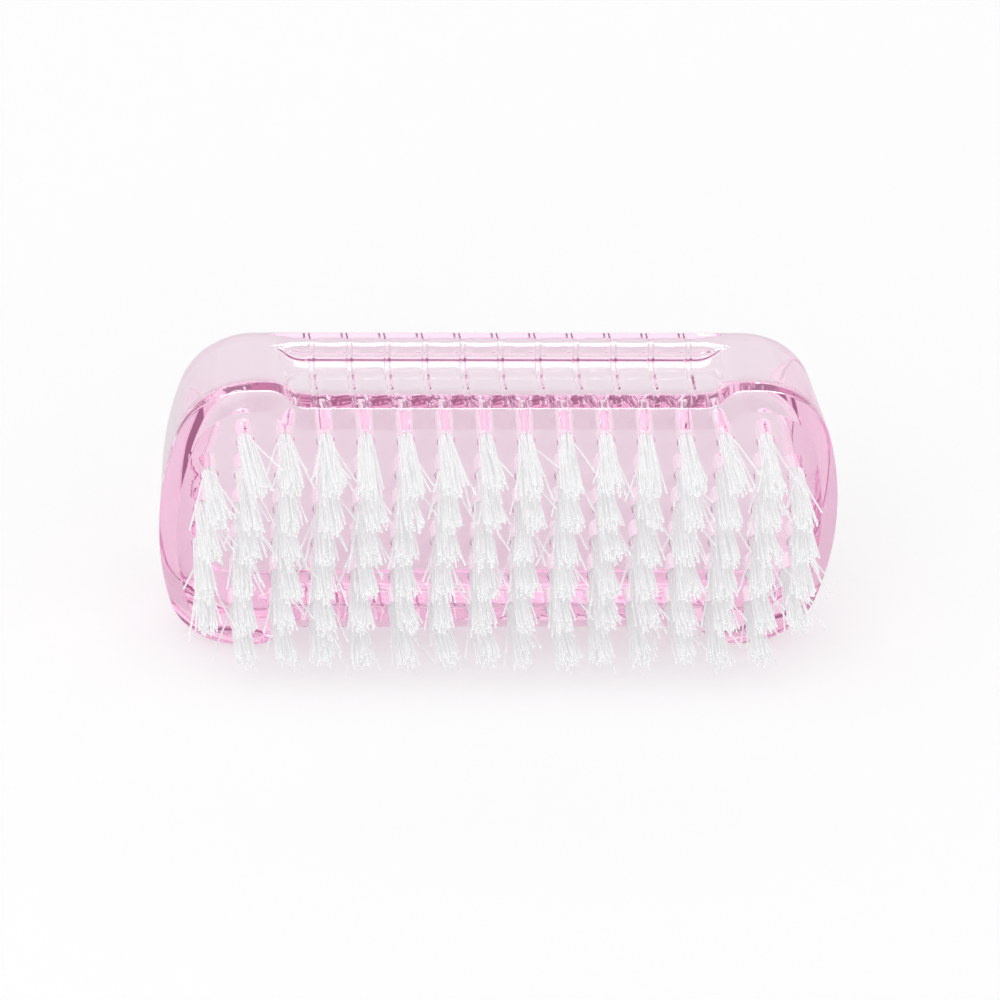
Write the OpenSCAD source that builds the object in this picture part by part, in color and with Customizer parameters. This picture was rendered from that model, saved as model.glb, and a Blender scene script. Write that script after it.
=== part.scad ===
// Hand nail brush: a clear moulded block, open at the back, with a grooved finger grip along each long side.
// Tufts of bristle are set into blind holes in its front, each folded over a flat metal anchor.
// The brush stands on one long side: X runs along it, Z is up and the bristles point along -Y.
// The origin is the middle of the footprint, on the surface that the brush stands on.

/* [Block] */
// Length of the block, end to end
block_l = 90; // [86:1:100]
// Width of the block, which is its height as it stands
block_w = 40.5; // [39:0.5:44]
// Depth of the side wall, from the front rim to the back face
wall_d = 15.4; // [14:0.2:20]
// Radius of the four corners, seen from the front
corner_r = 10; // [8:0.5:10.5]
// Radius of the gently curved end walls
end_r = 46; // [40:1:70]
// How far each end wall leans in between the rim and the back face
end_lean = 1.4; // [0:0.1:1.9]
// Rounding of the edge round the back face
back_r = 2.2; // [1:0.1:3.5]
// Width of the bevel between the rim and the bristle face
bevel_w = 2.3; // [1.2:0.1:2.6]
// How far the bristle face stands in front of the rim
bevel_d = 1.7; // [1:0.1:2.6]

/* [Finger grip] */
// Length of block beyond each end of the grip's straight floor
lobe_l = 19; // [18.5:0.5:22]
// Length of the curved shoulder between the floor and the full width
shoulder_l = 5.5; // [5:0.1:6]
// Depth of the grip below the sides of the block
grip_depth = 2.75; // [2.4:0.05:3.7]
// Thickness of the lip that closes the grip at the back
lip_d = 4.8; // [3.8:0.1:6]
// Hollow rounding where the grip's floor meets the lip
grip_fillet_r = 1.5; // [1:0.1:2]
// How far the front of the lip leans back over its height
lip_draft = 0.2; // [0.1:0.05:0.5]
// Distance between the grooves across the grip
groove_pitch = 5; // [3:0.25:8]
// Width of a groove
groove_w = 0.9; // [0.4:0.05:1]
// Depth of a groove
groove_depth = 0.35; // [0.2:0.05:0.45]
// Plain strip between the rim and the start of the grooves
groove_start = 1.2; // [0.8:0.1:3]

/* [Hollow back] */
// Thickness of plastic behind the ends of the tuft holes
plate_back_t = 0.7; // [0.6:0.1:1.5]
// Thickness of the wall at the ends and beyond the grip
wall_t = 3.6; // [2.8:0.1:3.6]
// Thickness of the wall under the floor of the grip
grip_wall_t = 1.7; // [1.5:0.1:2.4]
// Rounding where the wall meets the plate, inside
hollow_fillet_r = 1; // [0.5:0.1:1.5]
// How much wider the hollow is on each side at its mouth than at its bottom
hollow_draft = 0.2; // [0.1:0.05:0.4]

/* [Tuft holes] */
// Columns of tufts along the block
columns = 16; // [14:1:17]
// Rows of tufts across the block
rows = 6; // [4:1:6]
// From the end wall to the middle of the end column
end_margin = 5.4; // [4.6:0.1:7]
// From the grip's rim to the middle of the nearest row
side_margin = 4.1; // [3.7:0.1:5.5]
// Diameter of a tuft hole
hole_d = 2.4; // [2:0.1:2.8]
// Depth of a tuft hole
hole_depth = 6; // [5:0.25:8]

/* [Bristles] */
// How far the bristles stand out of the face
bristle_l = 12.8; // [8:0.2:16]
// Gap between a tuft's root and the wall of its hole
tuft_fit = 0.05; // [0.02:0.01:0.1]
// Thickness of one strand
strand_d = 0.72; // [0.5:0.02:0.76]
// How far the outer strands of a tuft stand from its middle at their tips
tip_spread = 1.5; // [1:0.1:1.7]
// The furthest that a tuft leans to one side at its tips
tip_lean = 0.35; // [0:0.05:0.4]
// The most by which an outer strand is cut short
tip_trim = 0.8; // [0:0.1:2]
// How far a strand runs down into the root of its tuft
strand_root = 0.6; // [0.4:0.1:1.5]

/* [Anchors] */
// Thickness of an anchor plate
anchor_t = 0.3; // [0.2:0.05:0.5]
// Height of an anchor plate along its hole
anchor_h = 1.8; // [1:0.1:2.2]
// How far each edge of an anchor bites into the wall of its hole
anchor_bite = 0.25; // [0.1:0.05:0.4]
// Thickness of the folded bristles below an anchor
fold_t = 0.7; // [0.5:0.1:1]
// Gap all round an anchor
anchor_fit = 0.02; // [0.01:0.01:0.05]

/* [Hidden] */
block_colour = [0.95, 0.6, 0.82, 0.55];
bristle_colour = [0.95, 0.95, 0.96];
anchor_colour = [0.62, 0.62, 0.6];

// One overrun serves every cut and every buried overlap
overrun = 1;

// Places along Y, from the tips of the bristles to the back face
total_d = bristle_l + bevel_d + wall_d;
face_y = bristle_l - total_d / 2;
rim_y = face_y + bevel_d;
lip_y = rim_y + wall_d - lip_d;
back_y = rim_y + wall_d;

// The block's outline about its own middle
side_z = block_w / 2;
hollow_depth = grip_depth + grip_wall_t - wall_t;
floor_z = side_z - grip_depth;
grip_x = block_l / 2 - lobe_l;
corner_z = side_z - corner_r;
end_x = block_l / 2 - end_r;
corner_x = end_x + sqrt(pow(end_r - corner_r, 2) - pow(corner_z, 2));
end_angle = asin(corner_z / (end_r - corner_r));

// Grooves, spread evenly about the middle of the grip
groove_gaps = floor(2 * grip_x / groove_pitch);

// Tufts
column_pitch = (block_l - 2 * end_margin) / (columns - 1);
row_pitch = (2 * floor_z - 2 * side_margin) / (rows - 1);
hole_y = face_y + hole_depth;
hollow_y = hole_y + plate_back_t;
tuft_r = hole_d / 2 - tuft_fit;
strand_r = strand_d / 2;
outer_strands = 4;
ring_r = tuft_r - strand_r - tuft_fit;
// Shares of a strand's length, outward bend and width, from its tip to the face
strand_length_shares = [1, 0.45];
strand_bend_shares = [1, 0.3];
strand_width_shares = [0.75, 1];
strand_sides = 3;
// Angles for each column, row and strand that set how the tufts differ from one another
lean_turns = [[137, 71], [59, 173]];
tuft_turns = [37, 53];
trim_turns = [97, 41, 67];

// Anchors
anchor_w = hole_d + 2 * anchor_bite;
anchor_y = hole_y - fold_t - anchor_h;

shoulder_steps = 6;
corner_steps = 9;
end_steps = 5;
back_steps = 4;
fillet_steps = 3;
bore_fn = 32;

column_numbers = [1 : columns];

// A node's name with its number in two figures
function numbered(name, c) = str(name, c < 10 ? "0" : "", c);

// Points on an arc, leaving out the first if it is already there
function arc(x, z, r, from, to, steps, first = 0) =
    [for (k = [first : steps]) let (a = from + (to - from) * k / steps) [x + r * cos(a), z + r * sin(a)]];

// The curved shoulder from the grip's floor up to the full width at a side, moved in by an inset:
// two equal arcs that meet halfway, or a straight line where the grip has no depth
function shoulder(inset, depth, side = side_z) = depth > 0
    ? let (
        turn = 2 * atan(depth / shoulder_l),
        r = shoulder_l / (2 * sin(turn)),
        hollow = arc(grip_x, side - depth + r, r + inset, -90, turn - 90, shoulder_steps),
        round = arc(grip_x + shoulder_l, side - r, r - inset, 90 + turn, 90, shoulder_steps, 1))
        concat(hollow, round)
    : [for (k = [0 : 2 * shoulder_steps])
        [grip_x + shoulder_l * k / (2 * shoulder_steps), side - inset]];

// The round end, from the side of the block to the middle of its end wall, which leans in
function round_end(inset, lean) = concat(
    arc(corner_x - lean, corner_z, corner_r - inset, 90, end_angle, corner_steps),
    arc(end_x - lean, 0, end_r - inset, end_angle, 0, end_steps, 1)
);

// A quarter outline made whole, running clockwise as seen from the front
function whole(quarter) =
    let (right = concat(quarter, [for (k = [len(quarter) - 2 : -1 : 0]) [quarter[k].x, -quarter[k].y]]))
    concat(right, [for (k = [len(right) - 1 : -1 : 0]) [-right[k].x, right[k].y]]);

// Set a flat ring of points upright at a place along Y
function at_y(ring, y) = [for (p = ring) [p.x, y, p.y]];

// The outline at a place along Y and at one depth of the grip
function ring(y, inset, depth) =
    let (lean = end_lean * max(0, y - rim_y) / wall_d)
    at_y(whole(concat(shoulder(inset, depth), round_end(inset, lean))), y);

// The outline of the hollow, whose shoulders are flatter than those outside
function hollow_ring(y, inset) =
    at_y(whole(concat(shoulder(0, hollow_depth, side_z - inset), round_end(inset, end_lean))), y);

// A whole outline cut into upright strips, each between a point and the one below it
function strips(n) =
    let (m = n / 2, q = (m + 1) / 2)
    concat(
        [[0, m - 1, m, n - 1], [q - 2, q - 1, q], [m + q - 2, m + q - 1, m + q]],
        [for (k = [0 : q - 3]) [k, k + 1, m - 2 - k, m - 1 - k]],
        [for (k = [0 : q - 3]) [m + k, m + k + 1, n - 2 - k, n - 1 - k]]
    );

// A closed skin over rings with equal numbers of points, with the front ring first.
// The front cap is given as faces, and the back one is the same turned round.
module loft(rings, cap) {
    n = len(rings[0]);
    last = (len(rings) - 1) * n;
    sides = [
        for (j = [0 : len(rings) - 2]) for (i = [0 : n - 1])
            let (a = j * n + i, b = j * n + (i + 1) % n) each [[a, a + n, b], [b, a + n, b + n]]
    ];
    back = [for (f = cap) [for (i = [len(f) - 1 : -1 : 0]) last + f[i]]];
    polyhedron(points = [for (ring = rings) each ring], faces = concat(sides, cap, back));
}

// Both long sides alike
module on_both_sides() {
    children();
    mirror([0, 0, 1]) children();
}

// The tufts in one column, as row numbers: the end columns leave out their corners
function column_rows(c) = is_end(c) ? [1 : rows - 2] : [0 : rows - 1];
function is_end(c) = c == 1 || c == columns;
function row_z(r) = ((rows - 1) / 2 - r) * row_pitch;
function straight_x(c) = (c - (columns + 1) / 2) * column_pitch;
// An end column follows the curve of its end wall
function curved_x(c, r) = sign(straight_x(c)) * (end_x + sqrt(pow(end_r - end_margin, 2) - pow(row_z(r), 2)));
function tuft_x(c, r) = is_end(c) ? curved_x(c, r) : straight_x(c);

module at_tufts(c) {
    for (r = column_rows(c)) translate([tuft_x(c, r), 0, row_z(r)]) children();
}

// The outside of the block: bevel, side wall with its grip, lip and rounded back edge
module body() {
    hollow = [for (k = [0 : fillet_steps]) let (a = 90 * k / fillet_steps)
        ring(lip_y - grip_fillet_r * (1 - sin(a)), 0, grip_depth - grip_fillet_r * (1 - cos(a)))];
    rounding = [for (k = [0 : back_steps]) let (a = 90 * k / back_steps)
        ring(back_y - back_r * (1 - sin(a)), back_r * (1 - cos(a)), 0)];
    front = [ring(face_y, bevel_w, grip_depth), ring(rim_y, 0, grip_depth)];
    loft(concat(front, hollow, [ring(lip_y + lip_draft, 0, 0)], rounding), strips(len(front[0])));
}

// The open hollow behind the plate, with a rounding at its bottom
module back_hollow() {
    bottom = [for (k = [0 : fillet_steps]) let (a = 90 * k / fillet_steps)
        hollow_ring(hollow_y + hollow_fillet_r * (1 - cos(a)), wall_t + hollow_fillet_r * (1 - sin(a)))];
    mouth = hollow_ring(back_y + overrun, wall_t - hollow_draft);
    loft(concat(bottom, [mouth]), strips(len(mouth)));
}

// One groove: along the floor, round the hollow and up over the lip
module groove() {
    start_y = rim_y + groove_start;
    wall_y = lip_y + groove_depth;
    bottom_z = floor_z - groove_depth;
    translate([-groove_w / 2, 0, 0]) rotate([90, 0, 90]) linear_extrude(groove_w)
        difference() {
            polygon([
                [start_y - groove_depth, floor_z + overrun],
                [start_y - groove_depth, floor_z],
                [start_y, bottom_z],
                [wall_y, bottom_z],
                [wall_y, side_z + overrun],
                [start_y, side_z + overrun]
            ]);
            translate([wall_y, bottom_z]) difference() {
                translate([-grip_fillet_r, -overrun])
                    square([grip_fillet_r + overrun, grip_fillet_r + overrun]);
                translate([-grip_fillet_r, grip_fillet_r]) circle(grip_fillet_r, $fn = bore_fn);
            }
        }
}

module grooves() {
    for (k = [0 : groove_gaps]) translate([(k - groove_gaps / 2) * groove_pitch, 0, 0]) groove();
}

// An anchor's plate, larger all round by a gap
module anchor_plate(gap) {
    translate([-anchor_t / 2 - gap, anchor_y - gap, -anchor_w / 2 - gap])
        cube([anchor_t + 2 * gap, anchor_h + 2 * gap, anchor_w + 2 * gap]);
}

// A blind tuft hole, with the slots that its anchor cuts
module tuft_hole() {
    translate([0, face_y - overrun, 0]) rotate([-90, 0, 0])
        cylinder(d = hole_d, h = hole_depth + overrun, $fn = bore_fn);
    anchor_plate(anchor_fit);
}

module block() {
    color(block_colour) translate([0, 0, side_z]) difference() {
        body();
        back_hollow();
        on_both_sides() grooves();
        for (c = column_numbers) at_tufts(c) tuft_hole();
    }
}

// How a tuft leans, as shares of the lean, and how it is turned
function lean_shares(c, r) = [for (turns = lean_turns) sin(turns * [c, r])];
function turn_of(c, r) = tuft_turns * [c, r];
// How much an outer strand is cut short, as a share of the trim
function trim_share(c, r, k) = abs(sin(trim_turns * [c, r, k]));

// One three-sided strand, from its tip back into the root
module strand(from, to, turn, length) {
    bends = concat([for (s = strand_bend_shares) from + (to - from) * s], [from]);
    places = concat([for (s = strand_length_shares) face_y - length * s], [face_y + strand_root]);
    widths = concat([for (s = strand_width_shares) strand_r * s], [strand_r]);
    corners = [for (s = [0 : strand_sides - 1]) turn - 360 * s / strand_sides];
    rings = [for (j = [0 : len(bends) - 1]) [for (a = corners)
        [bends[j].x + widths[j] * cos(a), places[j], bends[j].y + widths[j] * sin(a)]]];
    loft(rings, [[for (s = [0 : strand_sides - 1]) s]]);
}

// The root of a tuft, folded over its anchor
module tuft_root() {
    difference() {
        translate([0, face_y, 0]) rotate([-90, 0, 0])
            cylinder(r = tuft_r, h = hole_depth - tuft_fit, $fn = bore_fn);
        anchor_plate(anchor_fit);
    }
}

module tuft(c, r) {
    lean = tip_lean * lean_shares(c, r);
    tuft_root();
    strand([0, 0], lean, turn_of(c, r), bristle_l);
    for (k = [0 : outer_strands - 1]) {
        a = turn_of(c, r) + 360 * k / outer_strands;
        way = [cos(a), sin(a)];
        strand(ring_r * way, tip_spread * way + lean, a, bristle_l - tip_trim * trim_share(c, r, k));
    }
}

module tuft_column(c) {
    color(bristle_colour) translate([0, 0, side_z])
        for (r = column_rows(c)) translate([tuft_x(c, r), 0, row_z(r)]) tuft(c, r);
}

module anchor_column(c) {
    color(anchor_colour) translate([0, 0, side_z]) at_tufts(c) anchor_plate(0);
}

block();
for (c = column_numbers) {
    tuft_column(c);
    anchor_column(c);
}
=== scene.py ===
"""A hand nail brush: a clear pink moulded block, tufts of white filament and the anchors that hold them.

It stands on one long side: X runs along it, Z is up and the bristles point along -Y.
"""
import math
import random

import bmesh
import bpy
from mathutils import Matrix, Vector
from mathutils.geometry import delaunay_2d_cdt


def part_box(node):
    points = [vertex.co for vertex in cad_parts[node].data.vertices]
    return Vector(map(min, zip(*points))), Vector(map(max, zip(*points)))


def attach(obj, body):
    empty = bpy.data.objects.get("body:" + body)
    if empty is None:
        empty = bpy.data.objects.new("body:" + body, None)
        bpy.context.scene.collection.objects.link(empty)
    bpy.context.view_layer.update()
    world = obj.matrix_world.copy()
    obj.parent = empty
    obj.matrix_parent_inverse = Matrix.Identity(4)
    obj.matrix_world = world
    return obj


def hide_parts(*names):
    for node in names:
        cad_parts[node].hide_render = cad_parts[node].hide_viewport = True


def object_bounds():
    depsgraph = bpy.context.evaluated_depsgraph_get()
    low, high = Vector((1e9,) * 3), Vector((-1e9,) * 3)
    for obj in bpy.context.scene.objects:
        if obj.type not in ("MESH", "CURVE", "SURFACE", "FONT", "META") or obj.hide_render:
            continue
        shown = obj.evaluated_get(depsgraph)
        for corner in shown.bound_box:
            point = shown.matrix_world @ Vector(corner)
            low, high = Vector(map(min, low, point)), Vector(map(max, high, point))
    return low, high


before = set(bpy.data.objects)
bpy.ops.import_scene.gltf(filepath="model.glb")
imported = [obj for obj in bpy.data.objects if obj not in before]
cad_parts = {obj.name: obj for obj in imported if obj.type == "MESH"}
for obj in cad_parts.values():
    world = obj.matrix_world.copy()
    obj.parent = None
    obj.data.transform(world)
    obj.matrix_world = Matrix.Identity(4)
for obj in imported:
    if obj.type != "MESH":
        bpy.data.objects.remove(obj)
cad_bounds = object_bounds()

MM = 0.001
QUARTER = math.pi / 2
BODY = "root"

# The block's box gives its length, height and depth; the other sizes are those of the block's source
block_low, block_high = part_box("block")
HALF_L = block_high.x
SIDE_Z = block_high.z / 2
FACE_Y = block_low.y
BACK_Y = block_high.y
TIPS_Y = cad_bounds[0][1]
BEVEL_D = 1.7 * MM
BEVEL_W = 2.3 * MM
RIM_Y = FACE_Y + BEVEL_D
BACK_R = 2.2 * MM
CORNER_R = 10 * MM
END_R = 46 * MM
END_LEAN = 1.4 * MM

# The finger grip
LOBE_L = 19 * MM
SHOULDER_L = 5.5 * MM
GRIP_DEPTH = 2.75 * MM
LIP_Y = BACK_Y - 4.8 * MM
LIP_DRAFT = 0.2 * MM
LIP_EDGE_R = 1.0 * MM
FILLET_R = 1.5 * MM
GROOVES = 11
GROOVE_PITCH = 5 * MM
GROOVE_W = 0.9 * MM
GROOVE_FLOOR_W = 0.4 * MM
GROOVE_DEPTH = 0.35 * MM
GROOVE_START = 1.2 * MM
PAD_CROWN = 0.16 * MM
RIM_EDGE_R = 0.35 * MM
FACE_EDGE_R = 0.35 * MM

# The hollow back
PLATE_BACK_T = 0.7 * MM
WALL_T = 3.6 * MM
GRIP_WALL_T = 1.7 * MM
HOLLOW_R = 1 * MM
HOLLOW_DRAFT = 0.2 * MM
HOLLOW_EDGE_R = 0.25 * MM

# Tufts and their holes
COLUMNS = 16
ROWS = 6
END_MARGIN = 5.4 * MM
SIDE_MARGIN = 4.1 * MM
HOLE_R = 1.2 * MM
HOLE_DEPTH = 6 * MM
MOUTH_R = 0.18 * MM
ANCHOR_GAP = 0.02 * MM

# Derived places
FLOOR_Z = SIDE_Z - GRIP_DEPTH
HOLLOW_DEPTH = GRIP_DEPTH + GRIP_WALL_T - WALL_T
HOLLOW_Y = FACE_Y + HOLE_DEPTH + PLATE_BACK_T
GRIP_X = HALF_L - LOBE_L
CORNER_Z = SIDE_Z - CORNER_R
END_X = HALF_L - END_R
CORNER_X = END_X + math.sqrt((END_R - CORNER_R) ** 2 - CORNER_Z ** 2)
END_ANGLE = math.degrees(math.asin(CORNER_Z / (END_R - CORNER_R)))
COLUMN_PITCH = 2 * (HALF_L - END_MARGIN) / (COLUMNS - 1)
ROW_PITCH = 2 * (FLOOR_Z - SIDE_MARGIN) / (ROWS - 1)

# An anchor's back, half its thickness and half its width, from one column and the middle of its top tuft
anchor_low, anchor_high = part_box("anchor_column_08")
ANCHOR_BACK = anchor_high.y
ANCHOR_HALF_T = (anchor_high.x - anchor_low.x) / 2
ANCHOR_HALF_W = anchor_high.z - ((ROWS - 1) / 2 * ROW_PITCH + SIDE_Z)

# Steps in the curves of the block's mesh
PAD_STEPS = 8
SHOULDER_STEPS = 12
CORNER_STEPS = 24
END_STEPS = 14
EDGE_STEPS = 3
FILLET_STEPS = 8
LIP_EDGE_STEPS = 4
BACK_STEPS = 8
HOLLOW_STEPS = 6
HOLE_SIDES = 32

# The filaments in a hole: in layers beside the anchor, folded round its back, drawn together at the mouth
FILAMENT_R = 0.13 * MM
FILAMENT_SIDES = 5
FILAMENT_PITCH = 2.04 * FILAMENT_R
LAYER_PITCH = FILAMENT_PITCH * 0.87
FIRST_LAYER = 1.1 * FILAMENT_R
PLACE_SHAKE_MM = 0.02
TUFT_R = HOLE_R - 0.05 * MM
FOLD_T = 0.6 * MM
FOLD_STEPS = 4
MOUTH_DRAW = 0.4

# The filaments outside: ranges, for the lean a mean with its deviation, and for the cut the least, most
# and likeliest. Along Z they spread and shake less
LEAN_X_MM = (0.25, 0.4)
LEAN_Z_MM = (0.1, 0.3)
SPREAD = (0.1, 0.5)
SPREAD_Z = 0.5
SHAKE_MM = 0.3
STRAY_SHAKE_MM = 1.5
SHAKE_Z = 0.8
STRAY_SHARE = 0.16
BEND = (0.8, 1.3)
CUT_MM = (0, 1.6, 0.7)
CUT_BY_REACH = 0.6
OUTER_STEPS = 5

# From the brush towards the brightest part of the surroundings
KEY_WAY = (-0.15, -0.95, 0.2)


def make_object(name, vertices, faces, material):
    """A new mesh object in the scene, with one material."""
    mesh = bpy.data.meshes.new(name)
    mesh.from_pydata(vertices, [], faces)
    mesh.validate()
    obj = bpy.data.objects.new(name, mesh)
    bpy.context.scene.collection.objects.link(obj)
    mesh.materials.append(material)
    return obj


def smooth_below(obj, degrees):
    """Shades smooth, apart from edges that turn by more than an angle."""
    mesh = obj.data
    mesh.polygons.foreach_set("use_smooth", [True] * len(mesh.polygons))
    mesh.set_sharp_from_angle(angle=math.radians(degrees))


def evenly(start, stop, steps):
    """Numbers at even steps from one value to another, with both of them."""
    return [start + (stop - start) * k / steps for k in range(steps + 1)]


def turn(start, stop, steps):
    """Pairs of sine and cosine at even steps from one angle to another."""
    return [(math.sin(a), math.cos(a)) for a in evenly(start, stop, steps)]


# Camera
def add_camera():
    """The photograph's view: a little from the left, well above the bristles, and turned by about
    four degrees."""
    elevation = math.radians(33.95)
    side = math.radians(7.08)
    roll = math.radians(-3.92)
    distance = 1.25
    photo_px = 1000
    px_per_m = 7570
    reference_px = Vector((499.2, 518.4))
    reference = Vector((0, RIM_Y, SIDE_Z))
    forward = Vector((
        math.sin(side) * math.cos(elevation),
        math.cos(side) * math.cos(elevation),
        -math.sin(elevation),
    ))
    level = Vector((math.cos(side), -math.sin(side), 0))
    upright = level.cross(forward)
    right = math.cos(roll) * level - math.sin(roll) * upright
    up = math.sin(roll) * level + math.cos(roll) * upright
    to_right = photo_px / 2 - reference_px.x
    to_up = reference_px.y - photo_px / 2
    middle = reference + (right * to_right + up * to_up) / px_per_m
    data = bpy.data.cameras.new("camera")
    data.sensor_width = 36
    data.lens = data.sensor_width * distance * px_per_m / photo_px
    data.clip_start = 0.05
    data.clip_end = 20
    camera = bpy.data.objects.new("camera", data)
    matrix = Matrix((right, up, -forward)).transposed().to_4x4()
    matrix.translation = middle - forward * distance
    camera.matrix_world = matrix
    bpy.context.scene.collection.objects.link(camera)
    bpy.context.scene.camera = camera


# Materials
def new_material(name):
    """A new material with its nodes, its links and its shader."""
    material = bpy.data.materials.new(name)
    material.use_nodes = True
    nodes = material.node_tree.nodes
    return material, nodes, material.node_tree.links, nodes["Principled BSDF"]


def set_inputs(node, values):
    """Sets inputs of a node by their names."""
    for name, value in values.items():
        node.inputs[name].default_value = value


def varied(nodes, links, scale, low, high):
    """A number that varies between two values from place to place on the part."""
    place = nodes.new("ShaderNodeTexCoord")
    grain = nodes.new("ShaderNodeTexNoise")
    set_inputs(grain, {"Scale": scale})
    links.new(place.outputs["Object"], grain.inputs["Vector"])
    spread = nodes.new("ShaderNodeMapRange")
    # Most of the noise lies between 0.3 and 0.7
    set_inputs(spread, {"From Min": 0.3, "From Max": 0.7, "To Min": low, "To Max": high})
    links.new(grain.outputs["Fac"], spread.inputs["Value"])
    return spread.outputs["Result"]


def clear_plastic():
    """Polished clear plastic with a pink tint that deepens with the length of the light's way through it.
    Its slight glow stands in for the light that gathers in it."""
    material, nodes, links, shader = new_material("clear_plastic")
    set_inputs(shader, {
        "Base Color": (1, 1, 1, 1),
        "IOR": 1.49,
        "Transmission Weight": 1,
        "Emission Color": (1, 0.42, 0.74, 1),
        "Emission Strength": 0.05,
    })
    links.new(varied(nodes, links, scale=90, low=0, high=0.015), shader.inputs["Roughness"])
    tint = nodes.new("ShaderNodeVolumeAbsorption")
    set_inputs(tint, {"Color": (0.985, 0, 0.56, 1), "Density": 20})
    links.new(tint.outputs["Volume"], nodes["Material Output"].inputs["Volume"])
    return material


def bristle():
    """White nylon filament, satin. Its slight glow stands in for the light that passes through it."""
    material, nodes, links, shader = new_material("bristle")
    shade = nodes.new("ShaderNodeCombineColor")
    for channel, top in (("Red", 0.84), ("Green", 0.84), ("Blue", 0.86)):
        links.new(varied(nodes, links, scale=900, low=0.76, high=top), shade.inputs[channel])
    links.new(shade.outputs["Color"], shader.inputs["Base Color"])
    set_inputs(shader, {
        "Roughness": 0.8,
        "Specular IOR Level": 0.1,
        "Emission Color": (1, 1, 1, 1),
        "Emission Strength": 0.17,
        "Subsurface Weight": 1,
        "Subsurface Radius": (1, 1, 1),
        "Subsurface Scale": 0.4 * MM,
    })
    return material


def anchor_metal():
    """Dull flat wire."""
    material, nodes, links, shader = new_material("anchor_metal")
    set_inputs(shader, {"Base Color": (0.45, 0.43, 0.42, 1), "Metallic": 1})
    links.new(varied(nodes, links, scale=3000, low=0.35, high=0.6), shader.inputs["Roughness"])
    return material


# The block
def arc(x, z, r, start, stop, steps, first=0):
    """Points on an arc, leaving out the first if it is already there."""
    angles = [math.radians(a) for a in evenly(start, stop, steps)[first:]]
    return [(x + r * math.cos(a), z + r * math.sin(a)) for a in angles]


def shoulder(inset, depth, side):
    """The curved shoulder from the grip's floor up to the full width at a side, in a quarter outline."""
    if depth <= 0:
        steps = 2 * SHOULDER_STEPS
        return [(GRIP_X + SHOULDER_L * k / steps, side - inset) for k in range(steps + 1)]
    bend = 2 * math.degrees(math.atan(depth / SHOULDER_L))
    r = SHOULDER_L / (2 * math.sin(math.radians(bend)))
    hollow = arc(GRIP_X, side - depth + r, r + inset, -90, bend - 90, SHOULDER_STEPS)
    round_in = arc(GRIP_X + SHOULDER_L, side - r, r - inset, 90 + bend, 90, SHOULDER_STEPS, first=1)
    return hollow + round_in


def round_end(inset, lean):
    """The round end, from the side of the block to the middle of its end wall, which leans in."""
    corner = arc(CORNER_X - lean, CORNER_Z, CORNER_R - inset, 90, END_ANGLE, CORNER_STEPS)
    return corner + arc(END_X - lean, 0, END_R - inset, END_ANGLE, 0, END_STEPS, first=1)


def groove_places():
    """Places along the right half of the grip's floor, each with how far the pad there stands out,
    or less than nothing in a groove."""
    half_floor = GROOVE_FLOOR_W / 2
    places = []
    for k in range(GROOVES // 2 + 1):
        middle = k * GROOVE_PITCH
        places += [(max(middle - half_floor, 0), -GROOVE_DEPTH), (middle + half_floor, -GROOVE_DEPTH)]
        start = middle + GROOVE_W / 2
        if k == GROOVES // 2:
            places.append((start, 0))
            break
        stop = middle + GROOVE_PITCH - GROOVE_W / 2
        for share in evenly(0, 1, PAD_STEPS):
            places.append((start + (stop - start) * share, PAD_CROWN * 4 * share * (1 - share)))
    return places


def ring(y, inset, depth, normal=(0, 1), relief=0):
    """A whole outline at one depth: clockwise as seen from the front. On the grip's floor the pads and
    grooves move it along a normal, given in Y and Z, by a share of their relief."""
    floor = []
    for x, out in groove_places():
        out *= relief
        floor.append((x, y + normal[0] * out, SIDE_Z - inset - depth + normal[1] * out))
    lean = END_LEAN * max(0, y - RIM_Y) / (BACK_Y - RIM_Y)
    return whole(floor + [(x, y, z) for x, z in shoulder(inset, depth, SIDE_Z) + round_end(inset, lean)])


def hollow_ring(y, inset):
    """A whole outline of the hollow, whose shoulders are flatter than those outside."""
    floor = [(x, y, SIDE_Z - inset - HOLLOW_DEPTH) for x, _ in groove_places()]
    rest = shoulder(0, HOLLOW_DEPTH, SIDE_Z - inset) + round_end(inset, END_LEAN)
    return whole(floor + [(x, y, z) for x, z in rest])


def whole(quarter):
    """A quarter outline made whole, and lifted to its height above the floor."""
    right = quarter + [(x, y, -z) for x, y, z in quarter[-2::-1]]
    left = [(-x, y, z) for x, y, z in right[-2:0:-1]]
    return [(x, y, z + SIDE_Z) for x, y, z in right + left]


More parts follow.
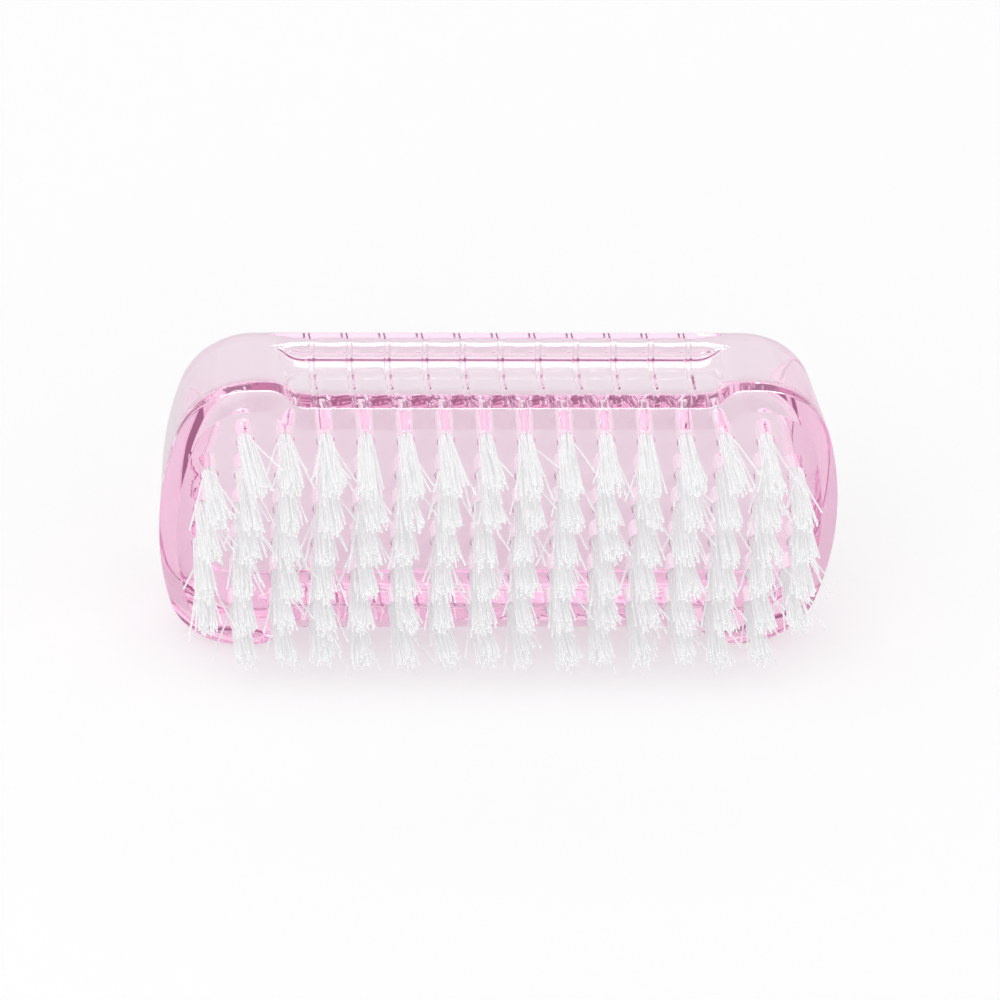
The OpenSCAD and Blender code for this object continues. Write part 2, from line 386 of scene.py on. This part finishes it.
def block_rings():
    """Rings from the bristle face back over the side wall and into the hollow, as far as its bottom."""
    bevel_turn = math.atan2(BEVEL_D, BEVEL_W)
    # The edge between the face and the bevel
    along = FACE_EDGE_R * math.tan(bevel_turn / 2)
    rings = [
        ring(FACE_Y + FACE_EDGE_R * (1 - cos), BEVEL_W + along - FACE_EDGE_R * sin, GRIP_DEPTH)
        for sin, cos in turn(0, bevel_turn, EDGE_STEPS)
    ]
    # The rim between the bevel and the side wall
    along = RIM_EDGE_R * math.tan((QUARTER - bevel_turn) / 2)
    rings += [
        ring(RIM_Y + along - RIM_EDGE_R * cos, RIM_EDGE_R * (1 - sin), GRIP_DEPTH)
        for sin, cos in turn(bevel_turn, QUARTER, EDGE_STEPS)
    ]
    # The floor of the grip, where its grooves start, and the fillet between it and the lip
    rings.append(ring(RIM_Y + GROOVE_START - GROOVE_DEPTH, 0, GRIP_DEPTH))
    rings.append(ring(RIM_Y + GROOVE_START, 0, GRIP_DEPTH, relief=1))
    rings += [
        ring(LIP_Y - FILLET_R * (1 - sin), 0, GRIP_DEPTH - FILLET_R * (1 - cos), (-sin, cos), relief=1)
        for sin, cos in turn(0, QUARTER, FILLET_STEPS)
    ]
    # The lip's front and its rounded edge, along which the grooves run out
    edge_y = LIP_Y + LIP_DRAFT
    rings += [
        ring(edge_y + LIP_EDGE_R * (1 - cos), 0, LIP_EDGE_R * (1 - sin), (-cos, sin), relief)
        for (sin, cos), relief in zip(turn(0, QUARTER, LIP_EDGE_STEPS), evenly(1, 0, LIP_EDGE_STEPS))
    ]
    # The rounded edge of the back
    rings += [
        ring(BACK_Y - BACK_R * (1 - sin), BACK_R * (1 - cos), 0)
        for sin, cos in turn(0, QUARTER, BACK_STEPS)
    ]
    # The mouth of the hollow, its wall and the rounding at its bottom
    mouth_inset = WALL_T - HOLLOW_DRAFT
    rings += [
        hollow_ring(BACK_Y - HOLLOW_EDGE_R * (1 - cos), mouth_inset - HOLLOW_EDGE_R * (1 - sin))
        for sin, cos in turn(0, QUARTER, EDGE_STEPS)
    ]
    return rings + [
        hollow_ring(HOLLOW_Y + HOLLOW_R * (1 - sin), WALL_T + HOLLOW_R * (1 - cos))
        for sin, cos in turn(0, QUARTER, HOLLOW_STEPS)
    ]


def tuft_places(column):
    """The middles of the tufts in one column. The end columns leave out their corners and follow the
    end walls."""
    rows = range(ROWS)
    x = (column - (COLUMNS + 1) / 2) * COLUMN_PITCH
    if column in (1, COLUMNS):
        rows = range(1, ROWS - 1)
    places = []
    for row in rows:
        z = ((ROWS - 1) / 2 - row) * ROW_PITCH
        if column in (1, COLUMNS):
            x = math.copysign(END_X + math.sqrt((END_R - END_MARGIN) ** 2 - z ** 2), x)
        places.append((x, z + SIDE_Z))
    return places


def add_hole(vertices, faces, x, z):
    """One blind tuft hole with a rounded mouth and the two slots that its anchor cuts on its way in.
    Returns the numbers of the vertices round its mouth."""
    slot_x = ANCHOR_HALF_T + ANCHOR_GAP
    slot_z = ANCHOR_HALF_W + ANCHOR_GAP
    half_sides = HOLE_SIDES // 2
    edge = math.asin(slot_x / HOLE_R)
    angles = []
    for half in range(2):
        start = QUARTER + edge + half * math.pi
        stop = QUARTER - edge + (half + 1) * math.pi
        angles += evenly(start, stop, half_sides - 1)
    profile = [
        (FACE_Y + MOUTH_R * (1 - cos), HOLE_R + MOUTH_R * (1 - sin))
        for sin, cos in turn(0, QUARTER, EDGE_STEPS)
    ]
    # The slots run in from the end of the rounding to the back of the anchor
    slot_row = len(profile) - 1
    profile += [(ANCHOR_BACK + ANCHOR_GAP, HOLE_R), (FACE_Y + HOLE_DEPTH, HOLE_R)]
    base = len(vertices)
    for y, r in profile:
        vertices += [(x + r * math.cos(a), y, z + r * math.sin(a)) for a in angles]
    for row in range(len(profile) - 1):
        for k in range(HOLE_SIDES):
            a = base + row * HOLE_SIDES + k
            b = base + row * HOLE_SIDES + (k + 1) % HOLE_SIDES
            c = b + HOLE_SIDES
            d = a + HOLE_SIDES
            if row != slot_row or k not in (half_sides - 1, HOLE_SIDES - 1):
                faces.append((a, d, c, b))
                continue
            up = -1 if k == half_sides - 1 else 1
            outer = len(vertices)
            for v in (a, b, c, d):
                vx, vy, _ = vertices[v]
                vertices.append((vx, vy, z + up * slot_z))
            e, f, g, h = range(outer, outer + 4)
            faces += [(e, h, g, f), (a, e, f, b), (b, f, g, c), (c, g, h, d), (d, h, e, a)]
    last = base + (len(profile) - 1) * HOLE_SIDES
    faces.append(tuple(range(last + HOLE_SIDES - 1, last - 1, -1)))
    return list(range(base, base + HOLE_SIDES))


def inside(point, outline):
    """Whether a point is inside a closed outline."""
    found = False
    for a, b in zip(outline, outline[1:] + outline[:1]):
        if (a.y > point.y) != (b.y > point.y):
            if point.x < a.x + (point.y - a.y) * (b.x - a.x) / (b.y - a.y):
                found = not found
    return found


def front_triangles(vertices, rim, holes, mouths):
    """Triangles that fill the front face between its rim and the mouths of its holes."""
    loops = [rim] + mouths
    numbers = [v for loop in loops for v in loop]
    flat = [Vector((vertices[v][0], vertices[v][2])) for v in numbers]
    edges = []
    start = 0
    for loop in loops:
        edges += [(start + k, start + (k + 1) % len(loop)) for k in range(len(loop))]
        start += len(loop)
    per_mm = 1 / MM
    merge_mm = 1e-5
    _, _, triangles, origins, _, _ = delaunay_2d_cdt([p * per_mm for p in flat], edges, [], 0, merge_mm)
    outline = flat[:len(rim)]
    # A mouth is a polygon, so a triangle beside it can have its middle a little inside the circle
    polygon_share = 0.98
    in_mouth = (HOLE_R + MOUTH_R) ** 2 * polygon_share
    kept = []
    for triangle in triangles:
        corners = [origins[v][0] for v in triangle]
        middle = sum((flat[v] for v in corners), Vector((0, 0))) / len(corners)
        if any((middle.x - x) ** 2 + (middle.y - z) ** 2 < in_mouth for x, z in holes):
            continue
        if inside(middle, outline):
            kept.append(tuple(numbers[v] for v in corners))
    return kept


def face_outwards(obj):
    """Turns every face of a closed mesh outwards."""
    mesh = bmesh.new()
    mesh.from_mesh(obj.data)
    bmesh.ops.recalc_face_normals(mesh, faces=mesh.faces)
    mesh.to_mesh(obj.data)
    mesh.free()


def add_block(material):
    """The clear block: one closed mesh with its holes, grips and grooves."""
    rings = block_rings()
    n = len(rings[0])
    vertices = [point for one in rings for point in one]
    faces = []
    for j in range(len(rings) - 1):
        for k in range(n):
            a = j * n + k
            b = j * n + (k + 1) % n
            faces.append((a, a + n, b + n, b))
    bottom = (len(rings) - 1) * n
    faces.append(tuple(range(bottom + n - 1, bottom - 1, -1)))
    holes = [place for column in range(1, COLUMNS + 1) for place in tuft_places(column)]
    mouths = [add_hole(vertices, faces, x, z) for x, z in holes]
    faces += front_triangles(vertices, list(range(n)), holes, mouths)
    block = make_object("clear_block", vertices, faces, material)
    face_outwards(block)
    smooth_below(block, degrees=24)
    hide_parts("block")
    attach(block, BODY)


# Bristles
def packed_places(chance):
    """Places for the filaments on one side of an anchor, in a loose hexagonal packing."""
    places = []
    x = ANCHOR_HALF_T + FIRST_LAYER
    while x < TUFT_R - FILAMENT_R:
        reach = math.sqrt((TUFT_R - FILAMENT_R) ** 2 - x ** 2)
        count = int(2 * reach / FILAMENT_PITCH) + 1
        for k in range(count):
            z = (k - (count - 1) / 2) * FILAMENT_PITCH
            places.append((x, z + chance.uniform(-PLACE_SHAKE_MM, PLACE_SHAKE_MM) * MM))
        x += LAYER_PITCH
    return places


def outer_path(root, lean, chance):
    """How one end of a filament runs from the mouth of its hole to its tip: points with the tip last."""
    length = FACE_Y - TIPS_Y
    stray = chance.random() < STRAY_SHARE
    spread = chance.uniform(*SPREAD)
    shake = STRAY_SHAKE_MM if stray else SHAKE_MM
    tip = Vector((
        root.x * (1 + spread) + lean.x + chance.gauss(0, shake) * MM,
        root.y * (1 + SPREAD_Z * spread) + lean.y + chance.gauss(0, SHAKE_Z * shake) * MM,
    ))
    bend = chance.uniform(*BEND)
    reach = (tip - root).length
    # The tips aren't quite level, and one that leans far out ends lower
    cut = chance.triangular(*CUT_MM) * MM + chance.random() ** 2 * reach * CUT_BY_REACH
    drop = length - math.sqrt(max(length ** 2 - reach ** 2, 0))
    out = length - cut - drop
    points = []
    for t in evenly(0, 1, OUTER_STEPS)[1:]:
        side = root.lerp(tip, t ** bend)
        points.append((side.x, FACE_Y - out * t, side.y))
    return points


def filament_path(place, lean, chance):
    """A whole filament: in from one tip, round the back of the anchor and out to the other tip."""
    x, z = place
    mouth_x = x - MOUTH_DRAW * ANCHOR_HALF_T
    left = Vector((-mouth_x, z))
    right = Vector((mouth_x, z))
    points = outer_path(left, lean, chance)[::-1]
    points.append((-mouth_x, FACE_Y, z))
    fold = FOLD_T * x / TUFT_R
    for a in evenly(0, math.pi, FOLD_STEPS):
        points.append((-x * math.cos(a), ANCHOR_BACK + fold * math.sin(a), z))
    points.append((mouth_x, FACE_Y, z))
    return points + outer_path(right, lean, chance)


def add_tube(vertices, faces, points, centre):
    """A thin closed tube along a path."""
    base = len(vertices)
    count = len(points)
    up = Vector((0, 0, 1))
    for k, point in enumerate(points):
        before = Vector(points[max(k - 1, 0)])
        after = Vector(points[min(k + 1, count - 1)])
        along = (after - before).normalized()
        across = along.cross(up).normalized()
        over = across.cross(along)
        middle = Vector(point) + centre
        for s in range(FILAMENT_SIDES):
            a = 2 * math.pi * s / FILAMENT_SIDES
            vertices.append(middle + FILAMENT_R * (math.cos(a) * across + math.sin(a) * over))
    for k in range(count - 1):
        row = base + k * FILAMENT_SIDES
        for s in range(FILAMENT_SIDES):
            a = row + s
            b = row + (s + 1) % FILAMENT_SIDES
            faces.append((a, b, b + FILAMENT_SIDES, a + FILAMENT_SIDES))
    last = base + (count - 1) * FILAMENT_SIDES
    faces.append(tuple(range(base + FILAMENT_SIDES - 1, base - 1, -1)))
    faces.append(tuple(range(last, last + FILAMENT_SIDES)))


def add_tuft_column(column, material):
    """One column of tufts, each a bundle of filaments folded over its anchor."""
    chance = random.Random(column)
    vertices = []
    faces = []
    for x, z in tuft_places(column):
        lean = Vector((chance.gauss(*LEAN_X_MM), chance.gauss(*LEAN_Z_MM))) * MM
        centre = Vector((x, 0, z))
        for place in packed_places(chance):
            add_tube(vertices, faces, filament_path(place, lean, chance), centre)
    tufts = make_object(f"tufts_{column:02d}", vertices, faces, material)
    smooth_below(tufts, degrees=75)
    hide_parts(f"tuft_column_{column:02d}")
    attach(tufts, BODY)


# The stage
def per_ray(nodes, links, camera, glossy, transmission, other):
    """A number that depends on the kind of ray. The one for other rays may be a socket."""
    path = nodes.new("ShaderNodeLightPath").outputs
    result = other
    kinds = (("Is Transmission Ray", transmission), ("Is Glossy Ray", glossy), ("Is Camera Ray", camera))
    for ray, value in kinds:
        node = nodes.new("ShaderNodeMix")
        node.data_type = "FLOAT"
        links.new(path[ray], node.inputs["Factor"])
        node.inputs["B"].default_value = value
        if isinstance(result, float):
            node.inputs["A"].default_value = result
        else:
            links.new(result, node.inputs["A"])
        result = node.outputs["Result"]
    return result


def add_floor():
    """A plain pale floor that runs up into a backdrop. Where it is seen through the plastic it has a
    brightness of its own, and hardly any shadow."""
    material, nodes, links, shader = new_material("floor")
    set_inputs(shader, {"Roughness": 0.9, "Specular IOR Level": 0, "Emission Color": (1, 1, 1, 1)})
    base = per_ray(nodes, links, camera=0.7, glossy=0.9, transmission=0.15, other=0.9)
    links.new(base, shader.inputs["Base Color"])
    glow = per_ray(nodes, links, camera=0.4, glossy=0.0, transmission=0.48, other=0.0)
    links.new(glow, shader.inputs["Emission Strength"])
    half = 3.0
    bend_y = 1.0
    bend_r = 0.6
    bend_steps = 12
    top = 2.0
    drop = 0.03 * MM
    profile = [(-half, -drop)]
    profile += [
        (bend_y + bend_r * sin, bend_r * (1 - cos) - drop)
        for sin, cos in turn(0, QUARTER, bend_steps)
    ]
    profile.append((bend_y + bend_r, top))
    vertices = [(x, y, z) for y, z in profile for x in (-half, half)]
    faces = [(2 * k, 2 * k + 1, 2 * k + 3, 2 * k + 2) for k in range(len(profile) - 1)]
    floor = make_object("floor", vertices, faces, material)
    smooth_below(floor, degrees=60)


def add_world():
    """White surroundings. Their light on matt surfaces is strongest from the side of the bristles."""
    world = bpy.data.worlds.new("world")
    world.use_nodes = True
    nodes = world.node_tree.nodes
    links = world.node_tree.links
    background = nodes["Background"]
    set_inputs(background, {"Color": (1, 1, 1, 1)})
    way = nodes.new("ShaderNodeTexCoord")
    facing = nodes.new("ShaderNodeVectorMath")
    facing.operation = "DOT_PRODUCT"
    facing.inputs[1].default_value = KEY_WAY
    links.new(way.outputs["Generated"], facing.inputs[0])
    light = nodes.new("ShaderNodeMapRange")
    light.interpolation_type = "SMOOTHSTEP"
    set_inputs(light, {"From Min": -1, "From Max": 1, "To Min": 0.33, "To Max": 1.0})
    links.new(facing.outputs["Value"], light.inputs["Value"])
    strength = per_ray(nodes, links, camera=1, glossy=0.9, transmission=0.5, other=light.outputs["Result"])
    links.new(strength, background.inputs["Strength"])
    bpy.context.scene.world = world


def add_lamp(name, place, size, watts, reflect_only=False):
    """A soft rectangular lamp aimed at the brush. One that only reflects is seen in gloss and lights
    nothing else."""
    data = bpy.data.lights.new(name, "AREA")
    data.shape = "RECTANGLE"
    data.size, data.size_y = size
    data.energy = watts
    lamp = bpy.data.objects.new(name, data)
    lamp.location = place
    aim = Vector((0, 0, SIDE_Z)) - lamp.location
    lamp.rotation_euler = aim.to_track_quat("-Z", "Y").to_euler()
    lamp.visible_camera = False
    lamp.visible_diffuse = not reflect_only
    lamp.visible_transmission = not reflect_only
    bpy.context.scene.collection.objects.link(lamp)


def main():
    """Builds the scene."""
    add_camera()
    add_floor()
    add_world()
    add_lamp("key_lamp", place=(-0.3, -0.6, 0.75), size=(0.5, 0.5), watts=0.8)
    add_lamp("top_card", place=(0, -0.05, 0.7), size=(1.0, 0.7), watts=28, reflect_only=True)
    add_lamp("front_card", place=(0.15, -1.3, 0.12), size=(1.4, 0.3), watts=2.5, reflect_only=True)
    add_lamp("back_card", place=(0, 0.8, 0.5), size=(1.4, 0.4), watts=0.5, reflect_only=True)
    add_block(clear_plastic())
    white = bristle()
    for column in range(1, COLUMNS + 1):
        add_tuft_column(column, white)
    metal = anchor_metal()
    for column in range(1, COLUMNS + 1):
        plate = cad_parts[f"anchor_column_{column:02d}"]
        for k in range(len(plate.material_slots)):
            plate.material_slots[k].material = metal
    bpy.context.scene.view_settings.view_transform = "Standard"


main()
